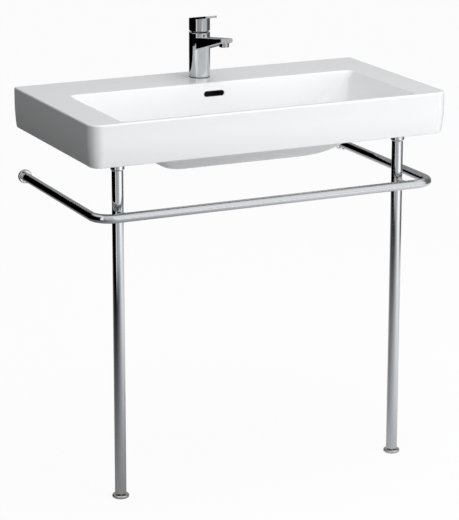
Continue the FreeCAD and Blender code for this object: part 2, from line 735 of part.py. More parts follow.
def rail_support(side, sign):
    """The peg between leg and rail, with a saddle at each end, and the screw that holds it."""
    x = f"{sign} * leg_offset"
    peg = cylinder(f"{side}_peg", "standoff_diameter", f"{LEG_Y} - {RAIL_Y}", x, RAIL_Y, RAIL_Z, ALONG_Y)
    rail = cylinder(f"{side}_saddle_rail", "rail_diameter", "2 * rail_diameter", f"{x} - rail_diameter",
                    RAIL_Y,
                    RAIL_Z, ALONG_X)
    tube = cylinder(f"{side}_saddle_leg", "leg_diameter", "2 * leg_diameter", x, LEG_Y,
                    f"{RAIL_Z} - leg_diameter")
    face = f"({LEG_Y} - leg_diameter / 2)"
    hole = cylinder(f"{side}_peg_hole", "rail_screw_diameter + 2 * seat_gap",
                    "rail_screw_bite + leg_diameter / 2", x,
                    f"{face} - rail_screw_bite", RAIL_Z, ALONG_Y)
    node(f"{side}_rail_standoff", cut(f"{side}_standoff", peg, rail, tube, hole))
    head = f"{LEG_Y} + leg_diameter / 2"
    shank = cylinder(f"{side}_screw_shank", "rail_screw_diameter", "rail_screw_bite + leg_diameter - 1", x,
                     f"{face} - rail_screw_bite + 1", RAIL_Z, ALONG_Y)
    cap = cylinder(f"{side}_screw_cap", "rail_screw_head_diameter", "rail_screw_head_height", x, head, RAIL_Z,
                   ALONG_Y)
    key = prism(f"{side}_screw_key", "rail_screw_head_diameter / 2", "rail_screw_head_height / 2", x,
                f"{head} + rail_screw_head_height / 2", RAIL_Z, ALONG_Y)
    node(f"{side}_rail_screw", cut(f"{side}_screw", fuse(f"{side}_screw_solid", shank, cap), key))


def rosette(side, sign):
    """The wall plate whose spigot carries the end of the rail, and the screw that locks it."""
    x = f"{sign} * rail_offset"
    spigot = "rail_diameter / 2 - rail_tube_wall - seat_gap"
    end = "rosette_thickness + spigot_length"
    plate = turned(f"{side}_rosette_body", [
        ("wall_screw_hole_diameter / 2", "0"),
        ("rosette_diameter / 2", "0"),
        ("rosette_diameter / 2", "rosette_thickness"),
        (spigot, "rosette_thickness"),
        (spigot, end),
        ("wall_screw_seat_diameter / 2", end),
        ("wall_screw_seat_diameter / 2", "wall_screw_seat_thickness"),
        ("wall_screw_hole_diameter / 2", "wall_screw_seat_thickness"),
    ], x, WALL_FACE, RAIL_Z, TO_ROOM)
    rounded(plate, "rosette_edge_radius", ring_edge(size["rosette_diameter"] / 2, size["rosette_thickness"]))
    hole = cylinder(f"{side}_spigot_hole", "set_screw_diameter + 2 * seat_gap", "rail_diameter / 2", x,
                    set_screw_y(), f"{RAIL_Z} - rail_diameter / 2")
    node(f"{side}_wall_rosette", cut(f"{side}_rosette", plate, hole))
    tip = "(wall_screw_seat_diameter / 2 + free_gap)"
    shank = cylinder(f"{side}_set_shank", "set_screw_diameter", f"rail_diameter / 2 - {tip}", x,
                     set_screw_y(),
                     f"{RAIL_Z} - rail_diameter / 2")
    head = cylinder(f"{side}_set_head", "set_screw_head_diameter", "set_screw_head_height", x, set_screw_y(),
                    f"{RAIL_Z} - rail_diameter / 2 - set_screw_head_height")
    key = prism(f"{side}_set_key", "set_screw_head_diameter / 2", "set_screw_head_height / 2", x,
                set_screw_y(),
                f"{RAIL_Z} - rail_diameter / 2 - set_screw_head_height")
    node(f"{side}_set_screw", cut(f"{side}_set", fuse(f"{side}_set_solid", shank, head), key))


# ---------------------------------------------------------------- tap


def tap_cylinder(name, diameter, low, high, x="0", y="0"):
    """An upright bar placed from the tap's axis, between two heights above the deck."""
    return cylinder(name, diameter, f"({high}) - ({low})", x, f"{TAP_Y} + ({y})", f"rim_height + ({low})")


def chamfered_bar(name, low, high):
    """A bar of the tap's diameter on its axis, its two edges broken."""
    radius, flat = "tap_diameter / 2", "tap_diameter / 2 - tap_edge_chamfer"
    return turned(name, [
        ("0", low),
        (flat, low),
        (radius, f"{low} + tap_edge_chamfer"),
        (radius, f"{high} - tap_edge_chamfer"),
        (flat, high),
        ("0", high),
    ], "0", TAP_Y, "rim_height")


def tap_body():
    column = chamfered_bar("tap_column", "tap_gasket_thickness", "tap_body_height")
    solid = fuse("tap_solid", column, spout())
    stud_y = "tap_stud_back"
    inlets = [tap_cylinder(f"{side}_inlet", "inlet_diameter", "tap_cavity_roof - 1", "cartridge_floor + 1",
                           f"{sign} * inlet_offset", "-inlet_forward") for side, sign in SIDES]
    node("tap_body", cut(
        "tap_casting", solid,
        tap_cylinder("tap_cavity", "tap_cavity_diameter", "0", "tap_cavity_roof"),
        tap_cylinder("cartridge_socket", "cartridge_socket_diameter", "cartridge_floor",
                     "tap_body_height + 1"),
        tap_cylinder("tap_stud_hole", "tap_stud_diameter + 2 * seat_gap", "0", "tap_stud_top + 1", "0",
                     stud_y),
        tap_cylinder("aerator_socket", "aerator_diameter + 2 * seat_gap", "aerator_low",
                     "aerator_high + free_gap", "0",
                     "aerator_setback - spout_reach"),
        waterway(),
        index_plug_cylinder("index_plug_hole", "index_plug_diameter + 2 * seat_gap", "1"),
        *inlets,
    ))
    node("index_plug", index_plug_cylinder("index_plug_bar", "index_plug_diameter", "free_gap"))
    node("tap_gasket", turned("tap_seal", [
        ("tap_cavity_diameter / 2", "0"),
        ("tap_diameter / 2 - 0.5", "0"),
        ("tap_diameter / 2 - 0.5", "tap_gasket_thickness"),
        ("tap_cavity_diameter / 2", "tap_gasket_thickness"),
    ], "0", TAP_Y, "rim_height"))


def index_plug_cylinder(name, diameter, proud):
    """A short bar set in the front of the column above the spout."""
    return cylinder(name, diameter, f"3 + {proud}", "0", f"{TAP_Y} - tap_diameter / 2 - {proud}",
                    "rim_height + index_plug_height", ALONG_Y)


def spout():
    """Four flat sides that narrow from the column to the tip and rise with it."""
    body = document.addObject("PartDesign::Body", "spout")
    sections = []
    for end, offset in (("root", "0"), ("tip", "spout_reach")):
        half = f"spout_{end}_width / 2"
        low, high = f"spout_{end}_low", f"spout_{end}_high"
        corners = [(f"-{half}", low), (half, low), (half, high), (f"-{half}", high)]
        sections.append(polygon_sketch(body, f"spout_{end}_section", "XZ_Plane", corners, offset))
    document.recompute()
    loft = body.newObject("PartDesign::AdditiveLoft", "spout_loft")
    loft.Profile = sections[0]
    loft.Sections = [sections[1]]
    loft.Ruled = True
    body.Tip = loft
    document.recompute()
    rounded(body, "spout_edge_radius", lambda edge: abs(edge.Vertexes[0].Y - edge.Vertexes[-1].Y) > 1)
    return place(body, "0", TAP_Y, "rim_height")


def waterway():
    """The bore along the spout, from the gallery round the cartridge to the aerator."""
    rise = "((spout_tip_low + spout_tip_high - spout_root_low - spout_root_high) / 2)"
    start_y = "cartridge_neck_diameter / 2 + 1"
    bar = document.addObject("Part::Cylinder", "waterway")
    bind(bar, "Radius", "waterway_diameter / 2")
    bind(bar, "Height", f"(spout_reach - aerator_setback - ({start_y})) / cos(atan({rise} / spout_reach))")
    bar.Placement = Placement(Vector(), Rotation(Vector(1, 0, 0), 90))
    bind(bar, "Placement.Rotation.Angle", f"90 deg - atan({rise} / spout_reach)")
    bind(bar, "Placement.Base.y", f"{TAP_Y} - ({start_y})")
    bind(bar, "Placement.Base.z",
         f"rim_height + (spout_root_low + spout_root_high) / 2 + {rise} * ({start_y}) / spout_reach")
    return bar


def aerator():
    y = "aerator_setback - spout_reach"
    shell = tap_cylinder("aerator_ring", "aerator_diameter", "aerator_low", "aerator_high", "0", y)
    bore = tap_cylinder("aerator_bore", "aerator_insert_diameter + 2 * seat_gap", "aerator_low - 1",
                        "aerator_high + 1",
                        "0", y)
    node("aerator_housing", cut("aerator_shell", shell, bore))
    disc = tap_cylinder("aerator_disc", "aerator_insert_diameter", "aerator_low + 2", "aerator_high - 1", "0",
                        y)
    holes = [tap_cylinder(f"aerator_hole_{k}", "aerator_insert_diameter / 6", "aerator_low + 1",
                          "aerator_high", "0", y)
             for k in range(7)]
    for k, hole in enumerate(holes[1:]):
        turn = math.radians(60 * k)
        bind(hole, "Placement.Base.x", f"{math.cos(turn):.6f} * aerator_insert_diameter / 3")
        bind(hole, "Placement.Base.y", f"{TAP_Y} + {y} + {math.sin(turn):.6f} * aerator_insert_diameter / 3")
    node("aerator_insert", cut("aerator_grid", disc, *holes))


def tap_fixing():
    """Stud, horseshoe gasket, horseshoe washer and nut, which pull the tap down on the deck."""
    node("tap_stud", tap_cylinder("tap_stud_bar", "tap_stud_diameter", "-tap_stud_drop", "tap_stud_top", "0",
                                  "tap_stud_back"))
    gasket_low = "-deck_thickness - horseshoe_gasket_thickness"
    washer_low = f"{gasket_low} - horseshoe_washer_thickness"
    horseshoe("horseshoe_gasket", gasket_low, "-deck_thickness")
    horseshoe("horseshoe_washer", washer_low, gasket_low)
    nut = prism("tap_nut_prism", "tap_nut_across_corners", "tap_nut_height", "0", f"{TAP_Y} + tap_stud_back",
                f"rim_height + {washer_low} - tap_nut_height")
    bore = tap_cylinder("tap_nut_bore", "tap_stud_diameter + 2 * seat_gap",
                        f"{washer_low} - tap_nut_height - 1",
                        f"{washer_low} + 1", "0", "tap_stud_back")
    node("tap_nut", cut("tap_nut_cut", nut, bore))


def horseshoe(name, low, high):
    """A disc open to the front for the hoses, with a hole for the stud behind."""
    disc = tap_cylinder(name + "_disc", "horseshoe_diameter", low, high)
    slot = box(name + "_slot", "-horseshoe_slot_width / 2", f"{TAP_Y} - horseshoe_diameter",
               f"rim_height + {low} - 1",
               "horseshoe_slot_width", "horseshoe_diameter + tap_stud_back - tap_stud_diameter",
               f"({high}) - ({low}) + 2")
    hole = tap_cylinder(name + "_hole", "tap_stud_diameter + 2 * free_gap", f"{low} - 1", f"{high} + 1", "0",
                        "tap_stud_back")
    node(name, cut(name + "_cut", disc, slot, hole))


# ---------------------------------------------------------------- cartridge


CHAMBER_FLOOR = "(cartridge_floor + cartridge_neck_height)"
CARTRIDGE_TOP = "(cartridge_floor + cartridge_height)"
FIXED_DISC_LOW = f"({CHAMBER_FLOOR} + free_gap)"
MOVING_DISC_LOW = f"({FIXED_DISC_LOW} + disc_thickness + free_gap)"
CARRIER_LOW = f"({MOVING_DISC_LOW} + moving_disc_thickness + free_gap)"


def disc_ports(name, low, high):
    return [tap_cylinder(f"{name}_{side}_port", "disc_port_diameter", low, high, f"{sign} * disc_port_offset",
                         "-disc_port_forward") for side, sign in SIDES]


def cartridge():
    neck = tap_cylinder("cartridge_neck", "cartridge_neck_diameter", "cartridge_floor", CHAMBER_FLOOR)
    barrel = tap_cylinder("cartridge_barrel", "cartridge_diameter", f"{CHAMBER_FLOOR} - 2", CARTRIDGE_TOP)
    chamber = tap_cylinder("cartridge_chamber", "cartridge_chamber_diameter", CHAMBER_FLOOR,
                           f"{CARTRIDGE_TOP} - cartridge_lip")
    mouth = tap_cylinder("cartridge_mouth", "cartridge_mouth_diameter", CHAMBER_FLOOR, f"{CARTRIDGE_TOP} + 1")
    outlet = tap_cylinder("cartridge_outlet", "disc_port_diameter", "cartridge_floor + 4",
                          f"{CHAMBER_FLOOR} + 1", "0",
                          "disc_outlet_back")
    window = cylinder("cartridge_window", "disc_port_diameter", "cartridge_neck_diameter / 2", "0",
                      f"{TAP_Y} + disc_outlet_back",
                      "rim_height + cartridge_floor + 4 + disc_port_diameter / 2",
                      ALONG_Y)
    node("cartridge_housing",
         cut("cartridge_case", fuse("cartridge_solid", neck, barrel), chamber, mouth, outlet,
                                  window, *disc_ports("case", "cartridge_floor - 1", f"{CHAMBER_FLOOR} + 1")))
    fixed = tap_cylinder("fixed_disc_blank", "fixed_disc_diameter", FIXED_DISC_LOW,
                         f"{FIXED_DISC_LOW} + disc_thickness")
    outlet_port = tap_cylinder("fixed_disc_outlet", "disc_port_diameter", f"{FIXED_DISC_LOW} - 1",
                               f"{FIXED_DISC_LOW} + disc_thickness + 1", "0", "disc_outlet_back")
    node("fixed_disc", cut("fixed_disc_cut", fixed, outlet_port,
                           *disc_ports("fixed", f"{FIXED_DISC_LOW} - 1",
                                       f"{FIXED_DISC_LOW} + disc_thickness + 1")))
    disc_top = f"({MOVING_DISC_LOW} + moving_disc_thickness)"
    moving = tap_cylinder("moving_disc_blank", "moving_disc_diameter", MOVING_DISC_LOW, disc_top)
    socket = tap_cylinder("moving_disc_socket", "stem_ball_diameter + 2 * free_gap",
                          f"{disc_top} - moving_disc_socket_depth", f"{disc_top} + 1")
    recess = box("moving_disc_recess", "-disc_recess_width / 2", f"{TAP_Y} + free_gap",
                 f"rim_height + {MOVING_DISC_LOW} - 1", "disc_recess_width", "disc_recess_length",
                 "disc_recess_depth + 1")
    node("moving_disc", cut("moving_disc_cut", moving, socket, recess))
    carrier_and_stem()
    covers()


def carrier_and_stem():
    """The carrier turns in the housing; the stem rocks in the carrier on a pin."""
    low, high = CARRIER_LOW, f"({CARRIER_LOW} + carrier_height)"
    wide = tap_cylinder("carrier_blank", "cartridge_chamber_diameter - 2 * free_gap", low, high)
    slot = box("carrier_slot", "-stem_width / 2 - free_gap", f"{TAP_Y} - stem_width",
               f"rim_height + {low} - 1",
               "stem_width + 2 * free_gap", "2 * stem_width", "carrier_height + 2")
    pin_z = "rim_height + pivot_height"
    pin_hole = cylinder("carrier_pin_hole", "pivot_pin_diameter", "pivot_pin_length", "-pivot_pin_length / 2",
                        TAP_Y,
                        pin_z, ALONG_X)
    node("stem_carrier", cut("carrier", wide, slot, pin_hole))
    node("pivot_pin",
         cylinder("pivot_pin_bar", "pivot_pin_diameter", "pivot_pin_length", "-pivot_pin_length / 2",
                               TAP_Y, pin_z, ALONG_X))
    block = box("stem_block", "-stem_width / 2", f"{TAP_Y} - stem_width / 2", f"{pin_z} - stem_width / 3",
                "stem_width", "stem_width", "stem_top - pivot_height + stem_width / 3")
    arm = tap_cylinder("stem_arm", "stem_ball_diameter * 0.7", "pivot_height - stem_arm", "pivot_height")
    ball = sphere("stem_ball", "stem_ball_diameter / 2", "0", TAP_Y, f"{pin_z} - stem_arm")
    hole = cylinder("stem_pin_hole", "pivot_pin_diameter + 2 * seat_gap", "2 * stem_width", "-stem_width",
                    TAP_Y, pin_z,
                    ALONG_X)
    node("stem", cut("stem_cut", fuse("stem_solid", block, arm, ball), hole))


def covers():
    """The ring nut that clamps the cartridge, and the dome that hides it in the handle's gap."""
    ring = tap_cylinder("ring_nut_blank", "cartridge_socket_diameter - 2 * seat_gap", CARTRIDGE_TOP,
                        f"{CARTRIDGE_TOP} + ring_nut_height")
    bore = tap_cylinder("ring_nut_hole", "ring_nut_bore", f"{CARTRIDGE_TOP} - 1",
                        f"{CARTRIDGE_TOP} + ring_nut_height + 1")
    node("ring_nut", cut("ring_nut_cut", ring, bore))
    centre = "rim_height + pivot_height"
    outside = sphere("dome_outside", "dome_radius", "0", TAP_Y, centre)
    inside = sphere("dome_inside", "dome_radius - dome_wall", "0", TAP_Y, centre)
    low = f"{CARTRIDGE_TOP} + ring_nut_height + seat_gap"
    hole = tap_cylinder("dome_hole", "dome_bore", "pivot_height", "pivot_height + 2 * dome_radius")
    band = tap_cylinder("dome_band", "4 * dome_radius", low, "pivot_height + dome_radius")
    node("dome", common("dome_common", cut("dome_shell", outside, inside, hole), band))


# ---------------------------------------------------------------- handle


def handle():
    """A round cap under a flat lever; the cap's heel is cut back so that it can tip."""
    bottom = "(tap_body_height + handle_gap)"
    top = f"({bottom} + handle_height)"
    wide = "tap_diameter"
    rise = "tan(lever_rise)"
    barrel = chamfered_bar("handle_barrel", bottom, f"({top} + tap_diameter)")
    trim = padded("handle_trim", "YZ_Plane", [
        (f"-{wide}", bottom),
        ("0", bottom),
        (wide, f"{bottom} + {wide} * tan(handle_heel_relief)"),
        (wide, f"{top} - {wide} * {rise}"),
        (f"-{wide}", f"{top} + {wide} * {rise}"),
    ], "2 * tap_diameter", "0", "0", TAP_Y, "rim_height", True)
    cap = common("handle_cap", barrel, trim)
    outline = padded("lever_outline", "XY_Plane", [
        ("-lever_root_width / 2", "-tap_diameter / 8"),
        ("-lever_tip_width / 2", "-handle_reach"),
        ("lever_tip_width / 2", "-handle_reach"),
        ("lever_root_width / 2", "-tap_diameter / 8"),
    ], "3 * handle_height", bottom, "0", TAP_Y, "rim_height")
    rounded(outline, "lever_corner_radius", lambda edge: is_tip_corner(edge))
    slab = padded("lever_slab", "YZ_Plane", [
        ("0", top),
        ("-2 * handle_reach", f"{top} + 2 * handle_reach * {rise}"),
        ("-2 * handle_reach", f"{top} + 2 * handle_reach * {rise} - lever_thickness"),
        ("0", f"{top} - lever_thickness"),
    ], "2 * tap_diameter", "0", "0", TAP_Y, "rim_height", True)
    lever = common("lever_plate", outline, slab)
    cavity = sphere("handle_cavity", "dome_radius + 1", "0", TAP_Y, "rim_height + pivot_height")
    seat = box("stem_seat", "-stem_width / 2 - seat_gap", f"{TAP_Y} - stem_width / 2 - seat_gap",
               "rim_height + pivot_height", "stem_width + 2 * seat_gap", "stem_width + 2 * seat_gap",
               "stem_top - pivot_height + free_gap")
    screw_z = "rim_height + handle_screw_height"
    screw_hole = cylinder("handle_screw_hole", "handle_screw_diameter + 2 * seat_gap", "tap_diameter", "0",
                          TAP_Y,
                          screw_z, ALONG_Y)
    solid = fuse("handle_solid", cap, lever)
    solid.Refine = True
    document.recompute()
    node("tap_handle", cut("handle_cut", eased(solid, top), cavity, seat, screw_hole))
    screw = cylinder("handle_screw_bar", "handle_screw_diameter", "handle_screw_length", "0",
                     f"{TAP_Y} + stem_width / 2 + seat_gap", screw_z, ALONG_Y)
    key = prism("handle_screw_key", "handle_screw_diameter / 2", "handle_screw_length / 3", "0",
                f"{TAP_Y} + stem_width / 2 + handle_screw_length * 2 / 3 + seat_gap", screw_z, ALONG_Y)
    node("handle_screw", cut("handle_screw_cut", screw, key))


def eased(solid, top):
    """Rounds the edges round the handle's sloping top."""
    crown = size["rim_height"] + size["tap_body_height"] + size["handle_gap"] + size["handle_height"]
    axis_y = size["basin_depth"] / 2 - size["tap_from_wall"]
    rise = math.tan(math.radians(size["lever_rise"]))

    def on_top(edge):
        points = edge.discretize(5)
        return all(abs(p.z - crown - (axis_y - p.y) * rise) < 1e-3 for p in points)

    fillet = document.addObject("Part::Fillet", "handle_eased")
    fillet.Base = solid
    radius = size["handle_edge_radius"]
    fillet.Edges = [(k, radius, radius) for k, edge in enumerate(solid.Shape.Edges, 1) if on_top(edge)]
    return fillet


def is_tip_corner(edge):
    """Tests for the two upright edges at the lever's tip."""
    low, high = edge.Vertexes[0].Point, edge.Vertexes[-1].Point
    upright = abs(low.x - high.x) + abs(low.y - high.y) < 1e-6 < abs(low.z - high.z)
    return upright and low.y < -size["handle_reach"] + 1e-3


# ---------------------------------------------------------------- whole


def check():
    """Stops if any object failed, or if any sub-part is empty or broken."""
    failed = [o.Name for o in document.Objects if {"Invalid", "Error"} & set(o.State)]
    if failed:
        raise RuntimeError(f"failed objects: {failed}")
    for name, item in nodes.items():
        if item.Shape.isNull() or not item.Shape.isValid() or item.Shape.Volume <= 0:
            raise RuntimeError(f"{name} has no sound shape")


basin()
for side_name, side_sign in SIDES:
    leg(side_name, side_sign)
    rail_support(side_name, side_sign)
    rosette(side_name, side_sign)
towel_rail()
tap_body()
aerator()
tap_fixing()
cartridge()
handle()
document.recompute()
check()
os.makedirs("parts", exist_ok=True)
for node_name, item in nodes.items():
    item.Shape.exportStep(f"parts/{node_name}.step")
    print(f"{node_name}: {len(item.Shape.Solids)} solid, {item.Shape.Volume / 1000:.2f} cm3")
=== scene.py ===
import math

import bmesh
import bpy
import numpy as np
from bpy.props import FloatProperty, FloatVectorProperty, PointerProperty
from mathutils import Matrix, Vector


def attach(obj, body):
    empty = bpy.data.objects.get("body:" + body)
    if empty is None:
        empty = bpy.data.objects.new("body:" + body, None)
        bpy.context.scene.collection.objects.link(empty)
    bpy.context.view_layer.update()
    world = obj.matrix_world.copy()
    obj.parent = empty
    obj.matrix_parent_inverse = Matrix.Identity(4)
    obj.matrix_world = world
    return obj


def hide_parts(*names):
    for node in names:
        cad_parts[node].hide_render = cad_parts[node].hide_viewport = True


bl_info = {
    "name": "Console Sink Dressing",
    "version": (1, 0, 0),
    "blender": (4, 5, 0),
    "location": "View3D > Sidebar > Console Sink",
    "description": "Dresses a ceramic console sink, its chromed legs, rail and tap, and sets its studio",
    "category": "Object",
}

MM = 0.001
SIDES = ("left", "right")
IMAGE_WIDTH, IMAGE_HEIGHT = 459, 520
SENSOR_MM = 36.0

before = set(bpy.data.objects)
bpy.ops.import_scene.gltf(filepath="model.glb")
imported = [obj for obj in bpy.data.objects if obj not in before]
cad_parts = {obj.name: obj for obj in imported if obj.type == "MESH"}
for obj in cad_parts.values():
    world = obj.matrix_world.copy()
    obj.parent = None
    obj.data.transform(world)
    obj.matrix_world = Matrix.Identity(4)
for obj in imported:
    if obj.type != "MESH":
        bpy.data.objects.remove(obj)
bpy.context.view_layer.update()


# ------------------------------------------------------------------ colours and nodes


def linear(hex_colour):
    """An sRGB hex value as linear red, green, blue."""
    values = [int(hex_colour[k:k + 2], 16) / 255 for k in (1, 3, 5)]
    return tuple(v / 12.92 if v <= 0.04045 else ((v + 0.055) / 1.055) ** 2.4 for v in values)


def add(tree, kind, inputs=None, **settings):
    """Adds a node, sets its properties, and gives each input its value or its link."""
    made = tree.nodes.new(kind)
    for name, value in settings.items():
        setattr(made, name, value)
    for socket, value in (inputs or {}).items():
        if isinstance(value, bpy.types.NodeSocket):
            tree.links.new(value, made.inputs[socket])
        else:
            made.inputs[socket].default_value = value
    return made


def new_material(name):
    """A material with an empty node tree."""
    material = bpy.data.materials.new(name)
    material.use_nodes = True
    material.node_tree.nodes.clear()
    return material, material.node_tree


def finish_material(tree, shader):
    """Joins a shader to the material's surface."""
    add(tree, "ShaderNodeOutputMaterial", {"Surface": shader.outputs[0]})


def grain(tree, per_metre, detail=2.0, stretch=(1, 1, 1)):
    """A noise value on Object coordinates, with so many cells to the metre."""
    where = add(tree, "ShaderNodeTexCoord").outputs["Object"]
    scaled = add(tree, "ShaderNodeMapping", {"Vector": where, "Scale": stretch})
    return add(tree, "ShaderNodeTexNoise",
               {"Vector": scaled.outputs[0], "Scale": per_metre, "Detail": detail})


def relief(tree, height, depth_mm):
    """A bump from a height value between 0 and 1 that stands for a depth in millimetres."""
    return add(tree, "ShaderNodeBump",
               {"Height": height, "Strength": 1.0, "Distance": depth_mm * MM}).outputs[0]


# ------------------------------------------------------------------ finishes


def glazed_fireclay():
    """White tin glaze, sprayed on fireclay and fired: a thin glass skin with a faint slow waviness."""
    looks = bpy.context.scene.sink_looks
    material, tree = new_material("glazed_fireclay")
    # the glaze pools and thins over some 60 mm, which the eye reads as a slightly wavy gloss
    pooling = grain(tree, 16.0, 1.0)
    gloss = add(tree, "ShaderNodeMapRange",
                {"Value": pooling.outputs["Fac"], "To Min": looks.glaze_roughness * 0.8,
                 "To Max": looks.glaze_roughness * 1.3})
    shader = add(tree, "ShaderNodeBsdfPrincipled", {
        "Base Color": (*looks.glaze_colour, 1.0),
        "Roughness": gloss.outputs[0],
        "IOR": 1.5,
        "Normal": relief(tree, pooling.outputs["Fac"], 0.25),
    })
    finish_material(tree, shader)
    return material


def chrome_plate():
    """Bright chrome over polished brass: a cool mirror with hardly any haze."""
    looks = bpy.context.scene.sink_looks
    material, tree = new_material("chrome_plate")
    # buffing leaves a haze that changes over a few centimetres
    haze = grain(tree, 30.0, 2.0)
    gloss = add(tree, "ShaderNodeMapRange",
                {"Value": haze.outputs["Fac"], "To Min": looks.chrome_roughness * 0.7,
                 "To Max": looks.chrome_roughness * 1.3})
    shader = add(tree, "ShaderNodeBsdfPrincipled", {
        "Base Color": (*looks.chrome_colour, 1.0),
        "Metallic": 1.0,
        "Roughness": gloss.outputs[0],
    })
    finish_material(tree, shader)
    return material


def turned_metal(name, hex_colour, roughness):
    """A lathe-turned metal with tool marks 0.3 mm apart round its axis."""
    material, tree = new_material(name)
    marks = grain(tree, 40.0, 3.0, (1, 1, 80))
    shader = add(tree, "ShaderNodeBsdfPrincipled", {
        "Base Color": (*linear(hex_colour), 1.0),
        "Metallic": 1.0,
        "Roughness": roughness,
        "Normal": relief(tree, marks.outputs["Fac"], 0.02),
    })
    finish_material(tree, shader)
    return material


def moulded(name, hex_colour, roughness, ior, texture_mm):
    """A moulded plastic, rubber or fired disc: an even colour and the fine texture of its mould."""
    material, tree = new_material(name)
    texture = grain(tree, 900.0, 2.0)
    shader = add(tree, "ShaderNodeBsdfPrincipled", {
        "Base Color": (*linear(hex_colour), 1.0),
        "Roughness": roughness,
        "IOR": ior,
        "Normal": relief(tree, texture.outputs["Fac"], texture_mm),
    })
    finish_material(tree, shader)
    return material


def dress(material, *nodes):
    """Gives CAD nodes or made pieces one material in place of what they carry."""
    for item in nodes:
        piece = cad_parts[item] if isinstance(item, str) else item
        piece.data.materials.clear()
        piece.data.materials.append(material)


# ------------------------------------------------------------------ surfaces

ARC_POINTS, RUN_POINTS = 14, 10
ROUND_POINTS, SLOT_POINTS = 48, 64
POLE_RADIUS = 0.01


def closed_grid(points, wrap_rows=False):
    """Vertices, quads and end faces of a grid, rows x columns x 3, closed along its columns' turn.

    With wrap_rows the last row is joined to the first, so the whole is a ring. Otherwise each end row is
    filled with one face."""
    rows, columns = points.shape[:2]
    index = np.arange(rows * columns).reshape(rows, columns)
    ends = [] if wrap_rows else [index[0, ::-1], index[-1]]
    if wrap_rows:
        index = np.vstack([index, index[:1]])
    beside = np.roll(index, -1, axis=1)
    quads = np.stack([index[:-1], beside[:-1], beside[1:], index[1:]], axis=-1).reshape(-1, 4)
    return points.reshape(-1, 3), quads, ends


def mesh_piece(name, grids):
    """An object from closed grids in millimetres, shaded smooth, with its normals turned outwards."""
    mesh = bpy.data.meshes.new(name)
    vertices, faces, start = [], [], 0
    for points, quads, ends in grids:
        vertices.append(points)
        faces += (quads + start).tolist() + [(end + start).tolist() for end in ends]
        start += len(points)
    mesh.from_pydata((np.concatenate(vertices) * MM).tolist(), [], faces)
    work = bmesh.new()
    work.from_mesh(mesh)
    bmesh.ops.recalc_face_normals(work, faces=work.faces)
    work.to_mesh(mesh)
    work.free()
    mesh.shade_smooth()
    piece = bpy.data.objects.new(name, mesh)
    bpy.context.scene.collection.objects.link(piece)
    return piece


def rounded_rectangles(half, front, back, front_radius, back_radius):
    """Rectangles with arc corners, one for each entry of the given arrays, as loops x points x 2.

    Each corner is centre + radius (cos a, sin a) over a quarter turn, and straight runs join the arcs."""
    turn = np.linspace(0.0, np.pi / 2, ARC_POINTS)
    corners = ((-half + front_radius, front + front_radius, front_radius, np.pi),
               (half - front_radius, front + front_radius, front_radius, 1.5 * np.pi),
               (half - back_radius, back - back_radius, back_radius, 0.0),
               (-half + back_radius, back - back_radius, back_radius, 0.5 * np.pi))
    arcs = []
    for x, y, radius, start in corners:
        across = x[:, None] + radius[:, None] * np.cos(start + turn)
        along = y[:, None] + radius[:, None] * np.sin(start + turn)
        arcs.append(np.stack([across, along], axis=-1))
    share = np.linspace(0.0, 1.0, RUN_POINTS + 2)[None, 1:-1, None]
    pieces = []
    for k, arc in enumerate(arcs):
        following = arcs[(k + 1) % 4]
        pieces += [arc, arc[:, -1:] + share * (following[:, :1] - arc[:, -1:])]
    return np.concatenate(pieces, axis=1)


def full_turn(points=ROUND_POINTS):
    """Angles evenly round a circle."""
    return np.linspace(0.0, 2 * np.pi, points, endpoint=False)


def upright_column(radius, low, high, x, y):
    """A round column along Z between two heights: (x + r cos a, y + r sin a, z), with a pole at each end."""
    profile = np.array([(POLE_RADIUS, low), (radius, low), (radius, high), (POLE_RADIUS, high)])
    across, height = profile[:, :1], profile[:, 1:] + np.zeros(ROUND_POINTS)
    return closed_grid(np.stack([x + across * np.cos(full_turn()), y + across * np.sin(full_turn()), height],
                                axis=-1))


def level_column(radius, x, z, y_low, y_high):
    """A round column along Y: (x + r cos a, y, z + r sin a) at its two ends."""
    across, upward = x + radius * np.cos(full_turn()), z + radius * np.sin(full_turn())
    rows = [np.column_stack([across, np.full(ROUND_POINTS, y), upward]) for y in (y_low, y_high)]
    return closed_grid(np.array(rows))


def block(low, high):
    """A box between two corners, as a grid of two square rows."""
    square = np.array([[0, 0], [1, 0], [1, 1], [0, 1]])
    low, high = np.array(low, float), np.array(high, float)
    rows = [np.column_stack([low[:2] + square * (high - low)[:2], np.full(4, z)]) for z in (low[2], high[2])]
    return closed_grid(np.array(rows))


# ------------------------------------------------------------------ the basin's form, in millimetres

# the body: heights, half width, front and wall planes
RIM_TOP, HALF_WIDTH, FRONT, WALL = 850.0, 425.0, -230.0, 230.0
APRON_FOOT, BAND_FOOT, DECK_UNDER = 757.0, 820.0, 836.0
APRON_WALL, APRON_CURVE = 12.0, 6.0
FRONT_CORNER, BACK_CORNER, SMALLEST_CORNER = 28.0, 6.0, 0.8
DECK_ROUND, RIM_ROUND, FOOT_ROUND, UNDER_ROUND = 4.0, 4.5, 2.0, 3.0

# the bowl: how its walls lean out from upright, and the radius that blends each into the floor
BOWL_DEEP, BOWL_HALF, BOWL_WALL = 145.0, 351.0, 13.0
FRONT_RIM, REAR_DECK = 14.0, 144.0
LEANS = {"side": math.radians(50.0), "back": math.radians(8.0), "front": math.radians(42.0)}
BLENDS = {"side": 150.0, "back": 60.0, "front": 130.0}
BOWL_CORNER, CORNER_SWELL, SWELL_HEIGHT = 19.0, 9.0, 100.0
FRONT_CLEARANCE = 0.5

